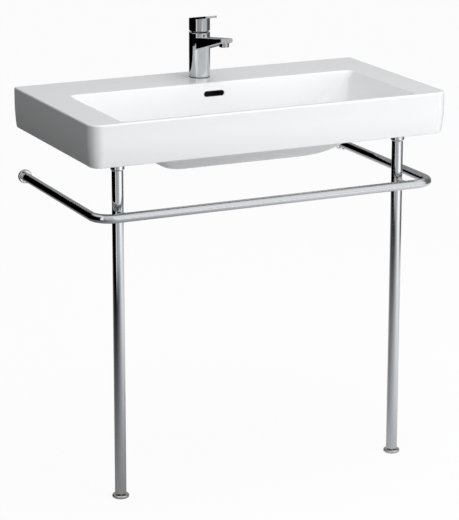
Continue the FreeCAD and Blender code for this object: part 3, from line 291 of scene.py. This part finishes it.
# the drain: its bore, its rounded lip, and (radius, height) down the collar round its foot
DRAIN_RADIUS, DRAIN_ROUND, DRAIN_LIP, DRAIN_FOOT = 23.0, 1.5, 705.2, 689.0
DRAIN_COLLAR = ((31.0, 692.0), (29.5, 691.6), (29.0, 691.0), (29.0, 690.0), (28.0, DRAIN_FOOT),
                (DRAIN_RADIUS + 1, DRAIN_FOOT), (DRAIN_RADIUS, DRAIN_FOOT + 1))

# the overflow: the slot's centre height, straight half length and end radius, then its way back along Y
SLOT_HEIGHT, SLOT_STRAIGHT, SLOT_RADIUS = 825.0, 18.5, 6.5
SLOT_START, SLOT_MOUTH, SLOT_FLARE, SLOT_END = 60.0, 81.6, 2.5, 103.0
DUCT_OUTSIDE = ((-37.0, 90.0, DRAIN_FOOT + 0.3), (37.0, 122.0, 840.5))
DUCT_INSIDE = ((-28.0, 99.0, 694.0), (28.0, 113.0, 831.5))
CHANNEL_ZONE = ((-30.0, 87.0, 694.0), (30.0, 114.0, 832.0))
# half width, reach behind the drain's centre, back and heights of the floor channel
RIB = (21.0, 27.0, 121.0, DRAIN_FOOT + 0.6, 700.0)
RIB_BORE = (12.0, 10.0, 112.0, 694.2, 700.2)

# holes and leg bosses
TAP_Y, TAP_HOLE = 162.0, 17.5
BOLT_X, BOLT_HEIGHT, BOLT_HOLE = 140.0, 790.0, 7.0
LEG_X, LEG_Y, SPIGOT_HOLE = 338.0, -158.0, 5.2
BOSS_RADIUS, BOSS_COVER = 22.0, 7.0
SHARP_ANGLE = math.radians(35.0)


def wall_out(side, height, thickness=0.0):
    """How far a bowl wall stands out from the flat floor's edge at each height above that floor.

    An arc of the blend radius leaves the floor level and runs into a straight wall that leans out."""
    lean, outer = LEANS[side], BLENDS[side] + thickness
    arc_top = BLENDS[side] - outer * math.sin(lean)
    arc = np.sqrt(np.maximum(outer ** 2 - (BLENDS[side] - height) ** 2, 0.0))
    straight = outer * math.cos(lean) + (height - arc_top) * math.tan(lean)
    return np.where(height < arc_top, arc, straight)


def wall_top(side):
    """How far a bowl wall stands out at the rim."""
    return float(wall_out(side, BOWL_DEEP))


def wall_out_rounded(side, height):
    """The same with the wall rolled over into the deck: a circle of the rim's radius touches both."""
    lean, depth = LEANS[side], BOWL_DEEP - height
    touch = RIM_ROUND * (1 - math.sin(lean))
    centre = RIM_ROUND * math.cos(lean) - touch * math.tan(lean)
    rolled = centre - np.sqrt(np.maximum(RIM_ROUND ** 2 - (RIM_ROUND - depth) ** 2, 0.0))
    return np.where(depth < touch, wall_top(side) + rolled, wall_out(side, height))


def bowl_inside(height):
    """The bowl's inner outlines at heights above its floor, rolled over at the rim."""
    return bowl_outlines(height, {side: wall_out_rounded(side, height) for side in LEANS}, FRONT)


def bowl_outside(height):
    """The bowl's outer outlines, a wall's thickness away, and kept clear of the apron's front wall."""
    reach = {side: wall_out(side, height, BOWL_WALL) for side in LEANS}
    return bowl_outlines(height, reach, FRONT + APRON_WALL + UNDER_ROUND + FRONT_CLEARANCE)


def bowl_outlines(height, reach, foremost):
    """Bowl outlines whose walls stand out by the reach: half width, front, back, corner radii, height."""
    half = BOWL_HALF - wall_top("side") + reach["side"]
    front = np.maximum(FRONT + FRONT_RIM + wall_top("front") - reach["front"], foremost)
    back = WALL - REAR_DECK - wall_top("back") + reach["back"]
    corner = BOWL_CORNER + CORNER_SWELL * np.sin(np.pi * np.clip(height / SWELL_HEIGHT, 0.0, 1.0))
    return half, front, back, corner, corner, RIM_TOP - BOWL_DEEP + height


def plan_outlines(inset, height, back_inset=None):
    """The basin's plan outline drawn in by an inset, at each height."""
    inset, height = np.broadcast_arrays(np.asarray(inset, float), np.asarray(height, float))
    back_inset = inset if back_inset is None else np.broadcast_to(back_inset, inset.shape)
    return (HALF_WIDTH - inset, FRONT + inset, WALL - back_inset, FRONT_CORNER - inset,
            np.maximum(BACK_CORNER - inset, SMALLEST_CORNER), height)


def drain_y():
    """Half way between the feet of the front and the back walls."""
    return (FRONT + FRONT_RIM + wall_top("front") + WALL - REAR_DECK - wall_top("back")) / 2


def drain_outlines(radius, height):
    """Circles round the drain, as rectangles whose corners meet."""
    radius, height = np.asarray(radius, float), np.asarray(height, float)
    return radius, drain_y() - radius, drain_y() + radius, radius, radius, height


def basin_skin():
    """The basin as one ring: its section is carried round rounded rectangles.

    From the drain up the bowl's inside, over the deck, down the apron and up inside it, and down the
    bowl's outside to the drain again. Each edge is a quarter circle: (1 - cos a, sin a) of its radius."""
    quarter = np.linspace(0.0, np.pi / 2, 9)
    rise, fall = 1 - np.cos(quarter), np.sin(quarter)
    rise_back, fall_back = rise[::-1], fall[::-1]
    up = np.concatenate([[1.0, 2.0, 3.5], np.linspace(5.5, BOWL_DEEP - RIM_ROUND - 1, 46),
                         BOWL_DEEP - RIM_ROUND * rise_back])
    down = np.concatenate([[RIM_TOP - DECK_ROUND - 1, BAND_FOOT + 1],
                           np.linspace(BAND_FOOT, APRON_FOOT + FOOT_ROUND, 12)])
    curve = APRON_CURVE * np.clip((BAND_FOOT - down) / (BAND_FOOT - APRON_FOOT), 0.0, 1.0) ** 2
    under = np.linspace(DECK_UNDER - RIM_TOP + BOWL_DEEP, -BOWL_WALL + 1, 44)
    foot = APRON_FOOT + FOOT_ROUND
    sections = [
        drain_outlines(DRAIN_RADIUS + DRAIN_ROUND * (1 - fall_back), DRAIN_LIP - DRAIN_ROUND * rise_back),
        bowl_inside(up),
        plan_outlines([DECK_ROUND + 1], RIM_TOP),
        plan_outlines(DECK_ROUND * (1 - fall), RIM_TOP - DECK_ROUND * rise),
        plan_outlines(curve, down, 0.0),
        plan_outlines(APRON_CURVE + FOOT_ROUND * rise, foot - FOOT_ROUND * fall, FOOT_ROUND * rise),
        plan_outlines(APRON_WALL - FOOT_ROUND * rise_back, foot - FOOT_ROUND * fall_back),
        plan_outlines(APRON_WALL, [foot + 1, DECK_UNDER - UNDER_ROUND - 1]),
        plan_outlines(APRON_WALL + UNDER_ROUND * rise, DECK_UNDER - UNDER_ROUND * (1 - fall)),
        bowl_outside(under),
        drain_outlines(*np.transpose(DRAIN_COLLAR)),
    ]
    half, front, back, front_radius, back_radius, height = (np.concatenate(part) for part in zip(*sections))
    plan = rounded_rectangles(half, front, back, front_radius, back_radius)
    heights = np.broadcast_to(height[:, None, None], (*plan.shape[:2], 1))
    return closed_grid(np.concatenate([plan, heights], axis=-1), wrap_rows=True)


def overflow_slot():
    """The overflow slot: a flat-sided oval carried back along Y, its mouth flared on a quarter circle."""
    angle, flare = full_turn(SLOT_POINTS), np.linspace(0.0, np.pi / 2, 7)
    depth = np.concatenate([[SLOT_START], SLOT_MOUTH + SLOT_FLARE * np.sin(flare), [SLOT_END]])
    grown = np.concatenate([[SLOT_FLARE + 0.1], SLOT_FLARE * (1 - np.sin(flare)), [0.0]])
    radius = (SLOT_RADIUS + grown)[:, None]
    across = np.sign(np.cos(angle)) * SLOT_STRAIGHT + radius * np.cos(angle)
    upward = SLOT_HEIGHT + radius * np.sin(angle)
    along = np.broadcast_to(depth[:, None], across.shape)
    return closed_grid(np.stack([across, along, upward], axis=-1))


def floor_channel(half, behind, back, low, high):
    """A box from behind the drain's centre to the duct."""
    return block((-half, drain_y() + behind, low), (half, back, high))


def leg_boss(x):
    """A round column whose top is cut to the slope of the bowl's side wall, inside its thickness.

    Each height is the lower of its own and rim - (bowl half width - |x|) / tan(lean) - cover."""
    top = DECK_UNDER + 4
    profile = np.array([(POLE_RADIUS, APRON_FOOT), (BOSS_RADIUS - 2, APRON_FOOT),
                        (BOSS_RADIUS - 0.6, APRON_FOOT + 0.6), (BOSS_RADIUS, APRON_FOOT + 2),
                        (BOSS_RADIUS, top), (POLE_RADIUS, top)])
    across = x + profile[:, :1] * np.cos(full_turn())
    along = LEG_Y + profile[:, :1] * np.sin(full_turn())
    slope = RIM_TOP - (BOWL_HALF - np.abs(across)) / math.tan(LEANS["side"]) - BOSS_COVER
    return closed_grid(np.stack([across, along, np.minimum(profile[:, 1:], slope)], axis=-1))


def combine(piece, other, operation):
    """Joins or cuts a piece with another, which is then removed."""
    change = piece.modifiers.new(operation.lower(), "BOOLEAN")
    change.object, change.operation, change.solver, change.use_self = other, operation, "EXACT", True
    graph = bpy.context.evaluated_depsgraph_get()
    finished = bpy.data.meshes.new_from_object(piece.evaluated_get(graph))
    piece.modifiers.clear()
    piece.data = finished
    bpy.data.objects.remove(other)


def fireclay_basin():
    """The basin's ring with its leg bosses and overflow duct joined on, and its holes cut."""
    basin = mesh_piece("fireclay_basin", [basin_skin()])
    joined = [leg_boss(-LEG_X), leg_boss(LEG_X), block(*DUCT_OUTSIDE), floor_channel(*RIB)]
    combine(basin, mesh_piece("joined", joined), "UNION")
    holes = [overflow_slot(), block(*DUCT_INSIDE), floor_channel(*RIB_BORE),
             upright_column(TAP_HOLE, DECK_UNDER - 6, RIM_TOP + 10, 0.0, TAP_Y)]
    holes += [level_column(BOLT_HOLE, x, BOLT_HEIGHT, WALL - 25, WALL + 10) for x in (-BOLT_X, BOLT_X)]
    holes += [upright_column(SPIGOT_HOLE, APRON_FOOT - 7, APRON_FOOT + 28, x, LEG_Y) for x in (-LEG_X, LEG_X)]
    combine(basin, mesh_piece("holes", holes), "DIFFERENCE")
    basin.data.shade_smooth()
    basin.data.set_sharp_from_angle(angle=SHARP_ANGLE)
    even = basin.modifiers.new("even_normals", "WEIGHTED_NORMAL")
    even.keep_sharp = True
    return basin


def paint_channel_shade(basin, material):
    """Gives a material, the painted shade of the channel's inside, to the faces of the overflow's slot and
    duct, found by where their centres lie.
    """
    basin.data.materials.append(material)
    centres = np.empty(len(basin.data.polygons) * 3)
    basin.data.polygons.foreach_get("center", centres)
    centres = centres.reshape(-1, 3) / MM
    low, high = np.array(CHANNEL_ZONE)
    inside = ((centres > low) & (centres < high)).all(axis=1)
    basin.data.polygons.foreach_set("material_index", inside.astype(np.int32))


# ------------------------------------------------------------------ settings


def colour_property(name, description, hex_colour):
    return FloatVectorProperty(name=name, description=description, default=linear(hex_colour),
                               subtype="COLOR", min=0.0, max=1.0, size=3)


class SinkLooks(bpy.types.PropertyGroup):
    """Finishes of the basin and of the metal."""
    glaze_colour: colour_property("Glaze colour", "White of the fired glaze", "#f0f1f2")
    glaze_roughness: FloatProperty(name="Glaze roughness", description="Haze of the glaze", default=0.12,
                                   min=0.0, max=1.0, subtype="FACTOR")
    chrome_colour: colour_property("Chrome colour", "Tint of the chrome plate", "#dcdfe1")
    chrome_roughness: FloatProperty(name="Chrome roughness", description="Haze of the chrome plate",
                                    default=0.04, min=0.0, max=1.0, subtype="FACTOR")


class SinkStudio(bpy.types.PropertyGroup):
    """Camera, lamps and floor."""
    camera_distance: FloatProperty(name="Camera distance", description="From the camera to its target",
                                   default=5.293, unit="LENGTH")
    camera_azimuth: FloatProperty(name="Camera azimuth", description="How far the camera stands to the left",
                                  default=math.radians(25.044), subtype="ANGLE")
    camera_elevation: FloatProperty(name="Camera elevation", description="How far the camera looks down",
                                    default=math.radians(14.318), subtype="ANGLE")
    focal_pixels: FloatProperty(name="Focal length in pixels", description="Focal length of the photograph",
                                default=2340.9)
    world_level: FloatProperty(name="World level", description="Strength of the studio's surroundings",
                               default=1.0)
    ceiling_level: FloatProperty(name="Ceiling level", description="Grey of the studio's ceiling",
                                 default=0.8)
    floor_glow: FloatProperty(name="Floor glow", description="How much the floor shows plain white",
                              default=0.93)
    front_lamp_power: FloatProperty(name="Front lamp", description="Power of the lamp before the sink",
                                    default=46.0, unit="POWER")
    top_lamp_power: FloatProperty(name="Top lamp", description="Power of the lamp above the sink",
                                  default=25.0, unit="POWER")
    floor_colour: colour_property("Floor colour", "Pale floor", "#f4f4f4")


# ------------------------------------------------------------------ operators


class SINK_OT_basin(bpy.types.Operator):
    """Casts the basin with its steep-sided bowl, and glazes it"""
    bl_idname = "sink.basin"
    bl_label = "Basin"

    def execute(self, context):
        basin = fireclay_basin()
        dress(glazed_fireclay(), basin)
        # the overflow's slot and duct get a near-black material: painted shade standing in for the shadow
        # deep inside the channel
        paint_channel_shade(basin, moulded("painted_shade_channel", "#2a2826", 0.9, 1.5, 0.1))
        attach(basin, "console")
        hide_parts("basin")
        return {"FINISHED"}


class SINK_OT_chrome_parts(bpy.types.Operator):
    """Plates the legs, the towel rail and the tap"""
    bl_idname = "sink.chrome_parts"
    bl_label = "Chrome parts"

    def execute(self, context):
        pairs = ("leg_tube", "leg_collar", "foot", "rail_standoff", "wall_rosette")
        both = [f"{side}_{part}" for side in SIDES for part in pairs]
        dress(chrome_plate(), "towel_rail", "tap_body", "tap_handle", "aerator_housing", "dome", *both)
        return {"FINISHED"}


class SINK_OT_small_parts(bpy.types.Operator):
    """Finishes the seals, screws, discs and inserts"""
    bl_idname = "sink.small_parts"
    bl_label = "Small parts"

    def execute(self, context):
        def both(*parts):
            return [f"{side}_{part}" for side in SIDES for part in parts]

        dress(moulded("epdm_seal", "#18191a", 0.7, 1.5, 0.03), "tap_gasket", "horseshoe_gasket",
              *both("leg_gasket", "foot_pad"))
        dress(turned_metal("plain_stainless", "#a8aaac", 0.3), "horseshoe_washer", "pivot_pin",
              "handle_screw", *both("rail_screw", "set_screw"))
        dress(turned_metal("turned_brass", "#c9a45c", 0.28), "tap_stud", "tap_nut", "stem",
              *both("leg_insert"))
        # the nut under the handle shows as a black line in the gap's shade, so its brass is painted near
        # black: painted shade
        dress(turned_metal("shade_darkened_brass", "#2b2a29", 0.35), "ring_nut")
        dress(moulded("black_nylon", "#1b1c1d", 0.5, 1.53, 0.03), "stem_carrier", *both("leg_plug"))
        dress(moulded("white_acetal", "#e9e8e3", 0.4, 1.48, 0.02), "cartridge_housing", "aerator_insert")
        dress(moulded("gloss_abs_plug", "#2a2b2d", 0.2, 1.53, 0.0), "index_plug")
        dress(moulded("lapped_alumina", "#ece6da", 0.15, 1.76, 0.0), "fixed_disc", "moving_disc")
        return {"FINISHED"}


class SINK_OT_studio(bpy.types.Operator):
    """Sets the camera, the floor, the lamps and the surroundings"""
    bl_idname = "sink.studio"
    bl_label = "Studio"

    def execute(self, context):
        studio = context.scene.sink_studio
        place_camera(studio)
        pale_floor(studio)
        lamps(studio)
        surroundings(studio)
        context.scene.view_settings.view_transform = "Standard"
        return {"FINISHED"}


# ------------------------------------------------------------------ studio

TARGET = Vector((0.0, 0.0, 0.425))
CENTRE_PIXEL = (215.77, 208.0)
SIDE_STEP, RISE_STEP = -0.03164, 0.14859
FLOOR_HALF, FLOOR_DROP = 12.0, -0.0002
BOARD_HALF, BOARD_FADE = 2.5, (1.8, 2.4)
CEILING_FADE = (0.55, 0.85)
LAMP_SIZE, LAMP_TARGET = 2.0, Vector((0.0, 0.0, 0.7))
COOL_TINT = 1.01

# grey levels of the studio walls, by the share of a full turn from straight behind the sink,
# clockwise seen from above: the wall on the right, the front, the left, and the back again
WALL_LEVELS = ((0.00, 0.30), (0.12, 0.30), (0.20, 0.16), (0.29, 0.16), (0.34, 0.95), (0.485, 0.95),
               (0.51, 0.60), (0.60, 0.60), (0.63, 0.35), (0.648, 1.2), (0.675, 1.2), (0.68, 0.0), (0.97, 0.0))

# grey levels of the board, from 2.5 m left of the sink to 2.5 m right of it
BOARD_LEVELS = ((0.10, 0.0), (0.16, 0.03), (0.25, 0.1), (0.33, 0.2), (0.42, 0.37), (0.50, 0.5), (0.60, 0.75),
                (0.70, 0.9))


def place_camera(studio):
    """Stands the camera where the photograph was taken from, with its small lens shift."""
    yaw, pitch = studio.camera_azimuth, studio.camera_elevation
    ahead = Vector((math.sin(yaw) * math.cos(pitch), math.cos(yaw) * math.cos(pitch), -math.sin(pitch)))
    right = Vector((math.cos(yaw), -math.sin(yaw), 0.0))
    up = right.cross(ahead)
    data = bpy.data.cameras.new("camera")
    camera = bpy.data.objects.new("camera", data)
    bpy.context.scene.collection.objects.link(camera)
    place = TARGET - studio.camera_distance * ahead + SIDE_STEP * right + RISE_STEP * up
    turn = Matrix((right, up, -ahead)).transposed().to_4x4()
    camera.matrix_world = Matrix.Translation(place) @ turn
    data.sensor_width = SENSOR_MM
    data.lens = studio.focal_pixels * SENSOR_MM / IMAGE_HEIGHT
    data.shift_x = (IMAGE_WIDTH / 2 - CENTRE_PIXEL[0]) / IMAGE_HEIGHT
    data.shift_y = (CENTRE_PIXEL[1] - IMAGE_HEIGHT / 2) / IMAGE_HEIGHT
    data.clip_start, data.clip_end = 0.1, 100.0
    bpy.context.scene.camera = camera


def pale_floor(studio):
    """A wide flat floor that shows nearly white and keeps the object's shadow.

    What the metal mirrors is the grey board itself: paler to the right, and past its edge the studio's
    walls."""
    half, drop = FLOOR_HALF, FLOOR_DROP
    mesh = bpy.data.meshes.new("floor")
    corners = [(-half, -half, drop), (half, -half, drop), (half, half, drop), (-half, half, drop)]
    mesh.from_pydata(corners, [], [(0, 1, 2, 3)])
    floor = bpy.data.objects.new("floor", mesh)
    bpy.context.scene.collection.objects.link(floor)
    material, tree = new_material("matt_white_board")
    place = add(tree, "ShaderNodeTexCoord").outputs["Object"]
    parts = add(tree, "ShaderNodeSeparateXYZ", {0: place}).outputs
    along = add(tree, "ShaderNodeMapRange", {"Value": parts["X"], "From Min": -BOARD_HALF,
                                             "From Max": BOARD_HALF}).outputs[0]
    board = add(tree, "ShaderNodeValToRGB", {0: along})
    fill_ramp(board.color_ramp, BOARD_LEVELS)
    reach = add(tree, "ShaderNodeVectorMath", {0: place}, operation="LENGTH").outputs["Value"]
    past = add(tree, "ShaderNodeMapRange",
               {"Value": reach, "From Min": BOARD_FADE[0], "From Max": BOARD_FADE[1]},
               interpolation_type="SMOOTHSTEP").outputs[0]
    mirrored = add(tree, "ShaderNodeMix", {"Factor": past, 6: board.outputs[0], 7: wall_level(tree, parts)},
                   data_type="RGBA").outputs[2]
    dim = add(tree, "ShaderNodeBsdfDiffuse", {"Color": mirrored})
    matt = add(tree, "ShaderNodeBsdfDiffuse", {"Color": (*studio.floor_colour, 1.0)})
    bright = add(tree, "ShaderNodeEmission", {"Color": (1.0, 1.0, 1.0, 1.0), "Strength": 1.0})
    shown = add(tree, "ShaderNodeMixShader", {0: studio.floor_glow, 1: matt.outputs[0], 2: bright.outputs[0]})
    seen = add(tree, "ShaderNodeLightPath").outputs["Is Camera Ray"]
    mixed = add(tree, "ShaderNodeMixShader", {0: seen, 1: dim.outputs[0], 2: shown.outputs[0]})
    finish_material(tree, mixed)
    dress(material, floor)


def lamp(name, place, power):
    """A soft square lamp turned to the sink, which the metal doesn't mirror."""
    data = bpy.data.lights.new(name, "AREA")
    data.shape = "SQUARE"
    data.size = LAMP_SIZE
    data.energy = power
    item = bpy.data.objects.new(name, data)
    bpy.context.scene.collection.objects.link(item)
    away = Vector(place) - LAMP_TARGET
    item.matrix_world = Matrix.Translation(place) @ away.to_track_quat("Z", "Y").to_matrix().to_4x4()
    item.visible_glossy = False


def lamps(studio):
    """A wide lamp before the sink, to the right, and one above it."""
    lamp("front_lamp", (1.6, -3.2, 1.6), studio.front_lamp_power)
    lamp("top_lamp", (0.4, -0.4, 3.2), studio.top_lamp_power)


def wall_level(tree, parts):
    """The studio wall's grey in the direction of the given X and Y."""
    turn = add(tree, "ShaderNodeMath", {0: parts["X"], 1: parts["Y"]}, operation="ARCTAN2").outputs[0]
    share = add(tree, "ShaderNodeMath", {0: turn, 1: 1 / (2 * math.pi)}, operation="MULTIPLY").outputs[0]
    round_share = add(tree, "ShaderNodeMath", {0: share, 1: 1.0}, operation="FLOORED_MODULO").outputs[0]
    walls = add(tree, "ShaderNodeValToRGB", {0: round_share})
    fill_ramp(walls.color_ramp, WALL_LEVELS)
    return walls.outputs[0]


def surroundings(studio):
    """A studio round the sink: bright at the front right, black on the left, grey on the right, pale above.

    A camera ray sees plain white."""
    world = bpy.data.worlds.new("studio")
    bpy.context.scene.world = world
    world.use_nodes = True
    tree = world.node_tree
    tree.nodes.clear()
    direction = add(tree, "ShaderNodeTexCoord").outputs["Generated"]
    parts = add(tree, "ShaderNodeSeparateXYZ", {0: direction}).outputs
    height = add(tree, "ShaderNodeMapRange", {"Value": parts["Z"], "From Min": CEILING_FADE[0],
                                              "From Max": CEILING_FADE[1]}, interpolation_type="SMOOTHSTEP")
    ceiling = (*[studio.ceiling_level] * 3, 1.0)
    room = add(tree, "ShaderNodeMix", {"Factor": height.outputs[0], 6: wall_level(tree, parts), 7: ceiling},
               data_type="RGBA")
    lit = add(tree, "ShaderNodeBackground", {"Color": room.outputs[2], "Strength": studio.world_level})
    white = add(tree, "ShaderNodeBackground", {"Color": (1.0, 1.0, 1.0, 1.0), "Strength": 1.0})
    seen = add(tree, "ShaderNodeLightPath")
    mixed = add(tree, "ShaderNodeMixShader",
                {0: seen.outputs["Is Camera Ray"], 1: lit.outputs[0], 2: white.outputs[0]})
    add(tree, "ShaderNodeOutputWorld", {"Surface": mixed.outputs[0]})


def fill_ramp(ramp, levels):
    """Sets a colour ramp's stops from (place, grey level) pairs."""
    while len(ramp.elements) > 1:
        ramp.elements.remove(ramp.elements[-1])
    ramp.elements[0].position = levels[0][0]
    for place, _ in levels[1:]:
        ramp.elements.new(place)
    for stop, (place, level) in zip(ramp.elements, levels):
        stop.position = place
        stop.color = (level, level, level * COOL_TINT, 1.0)


# ------------------------------------------------------------------ add-on


class SINK_PT_panel(bpy.types.Panel):
    """Lists the sink's pieces and its studio"""
    bl_idname = "SINK_PT_panel"
    bl_label = "Console Sink"
    bl_space_type = "VIEW_3D"
    bl_region_type = "UI"
    bl_category = "Console Sink"

    def draw(self, context):
        for operator in OPERATORS:
            self.layout.operator(operator.bl_idname)
        for group in (context.scene.sink_looks, context.scene.sink_studio):
            for name in group.__annotations__:
                self.layout.prop(group, name)


OPERATORS = (SINK_OT_basin, SINK_OT_chrome_parts, SINK_OT_small_parts, SINK_OT_studio)
CLASSES = (SinkLooks, SinkStudio, *OPERATORS, SINK_PT_panel)


def register():
    for item in CLASSES:
        bpy.utils.register_class(item)
    bpy.types.Scene.sink_looks = PointerProperty(type=SinkLooks)
    bpy.types.Scene.sink_studio = PointerProperty(type=SinkStudio)


def unregister():
    del bpy.types.Scene.sink_studio
    del bpy.types.Scene.sink_looks
    for item in reversed(CLASSES):
        bpy.utils.unregister_class(item)


def main():
    register()
    bpy.ops.sink.basin()
    bpy.ops.sink.chrome_parts()
    bpy.ops.sink.small_parts()
    bpy.ops.sink.studio()


if __name__ == "__main__":
    main()
